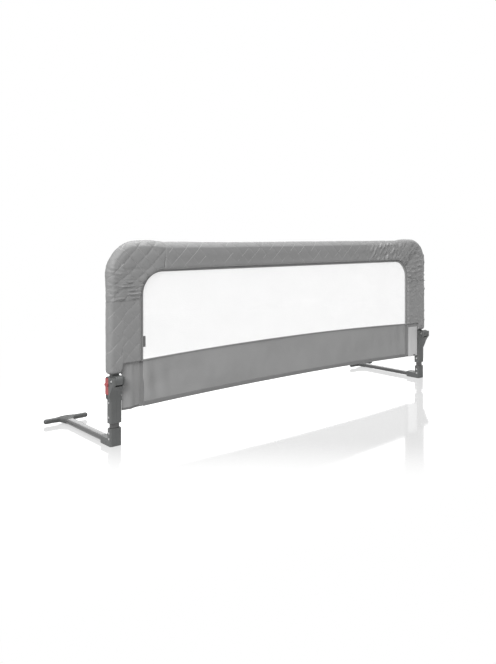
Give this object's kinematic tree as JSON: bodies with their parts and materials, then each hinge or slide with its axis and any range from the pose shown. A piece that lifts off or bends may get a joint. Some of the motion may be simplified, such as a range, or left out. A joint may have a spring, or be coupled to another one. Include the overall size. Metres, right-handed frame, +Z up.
{
  "type": "folding bed guard rail",
  "caption": "Fold-down bed guard rail: padded quilted frame with a net and a cloth panel, hinged on two legs whose floor arms slide under a mattress.",
  "frame": {"origin": "middle of the footprint, on the floor plane that the corner pieces and feet rest on", "axes": "+X along the rail to the picture's right, +Y back under the mattress, +Z up"},
  "size_m": [1.597, 0.3778, 0.5936],
  "materials": {
    "dark_plastic": "satin moulded",
    "coated_steel": "powder coated",
    "bare_steel": "zinc plated",
    "red_plastic": "semi gloss",
    "quilted_cloth": "quilted, padded",
    "panel_cloth": "smooth woven",
    "trim_cloth": "folded trim",
    "binding_cloth": "webbing",
    "net_cloth": "fine net",
    "label_cloth": "smooth, blank"
  },
  "bodies": {
    "rail": {"care_label": "label_cloth", "hem_strap": "binding_cloth", "lower_panel": "panel_cloth", "net": "net_cloth", "opening_trim": "trim_cloth", "panel_binding": "binding_cloth", "top_sleeve": "quilted_cloth", "top_tube": "coated_steel", "left_corner_sleeve": "quilted_cloth", "left_corner_tube": "coated_steel", "left_frame_rivet": "bare_steel", "left_hinge_knuckle": "dark_plastic", "left_joint_plug": "dark_plastic", "left_panel_wing": "panel_cloth", "left_side_sleeve": "quilted_cloth", "left_snap_button": "bare_steel", "right_corner_sleeve": "quilted_cloth", "right_corner_tube": "coated_steel", "right_frame_rivet": "bare_steel", "right_hinge_knuckle": "dark_plastic", "right_joint_plug": "dark_plastic", "right_panel_wing": "panel_cloth", "right_side_sleeve": "quilted_cloth", "right_snap_button": "bare_steel"},
    "left_leg": {"left_corner_rivet_lower": "bare_steel", "left_corner_rivet_upper": "bare_steel", "left_corner_shell_inner": "dark_plastic", "left_corner_shell_outer": "dark_plastic", "left_floor_arm": "coated_steel", "left_foot_bar": "dark_plastic", "left_foot_hub": "dark_plastic", "left_hinge_rivet_lower": "bare_steel", "left_hinge_rivet_upper": "bare_steel", "left_hinge_shell_inner": "dark_plastic", "left_hinge_shell_outer": "dark_plastic", "left_latch_spring": "bare_steel", "left_pivot_cap": "bare_steel", "left_pivot_pin": "bare_steel", "left_post_tube": "coated_steel"},
    "left_latch": {"left_lock_bolt": "bare_steel", "left_release_slider": "red_plastic"},
    "right_leg": {"right_corner_rivet_lower": "bare_steel", "right_corner_rivet_upper": "bare_steel", "right_corner_shell_inner": "dark_plastic", "right_corner_shell_outer": "dark_plastic", "right_floor_arm": "coated_steel", "right_foot_bar": "dark_plastic", "right_foot_hub": "dark_plastic", "right_hinge_rivet_lower": "bare_steel", "right_hinge_rivet_upper": "bare_steel", "right_hinge_shell_inner": "dark_plastic", "right_hinge_shell_outer": "dark_plastic", "right_latch_spring": "bare_steel", "right_pivot_cap": "bare_steel", "right_pivot_pin": "bare_steel", "right_post_tube": "coated_steel"},
    "right_latch": {"right_lock_bolt": "bare_steel", "right_release_slider": "red_plastic"}
  },
  "joints": [
    {"name": "left_fold", "type": "hinge", "parent": "rail", "child": "left_leg", "pos_m": [-0.7235, -0.1749, 0.192], "axis": [-1, 0, 0], "range_deg": [0, 180]},
    {"name": "right_fold", "type": "hinge", "parent": "rail", "child": "right_leg", "pos_m": [0.7235, -0.1749, 0.192], "axis": [-1, 0, 0], "range_deg": [0, 180]},
    {"name": "left_release", "type": "slide", "parent": "left_leg", "child": "left_latch", "axis": [0, 0, -1], "range_m": [0, 0.01], "stiffness_N_per_m": 700, "springref_m": -0.012, "deforming": ["left_latch_spring"]},
    {"name": "right_release", "type": "slide", "parent": "right_leg", "child": "right_latch", "axis": [0, 0, -1], "range_m": [0, 0.01], "stiffness_N_per_m": 700, "springref_m": -0.012, "deforming": ["right_latch_spring"]}
  ],
  "couplings": [
    {"joint": "right_fold", "follows": "left_fold", "ratio": 1}
  ]
}
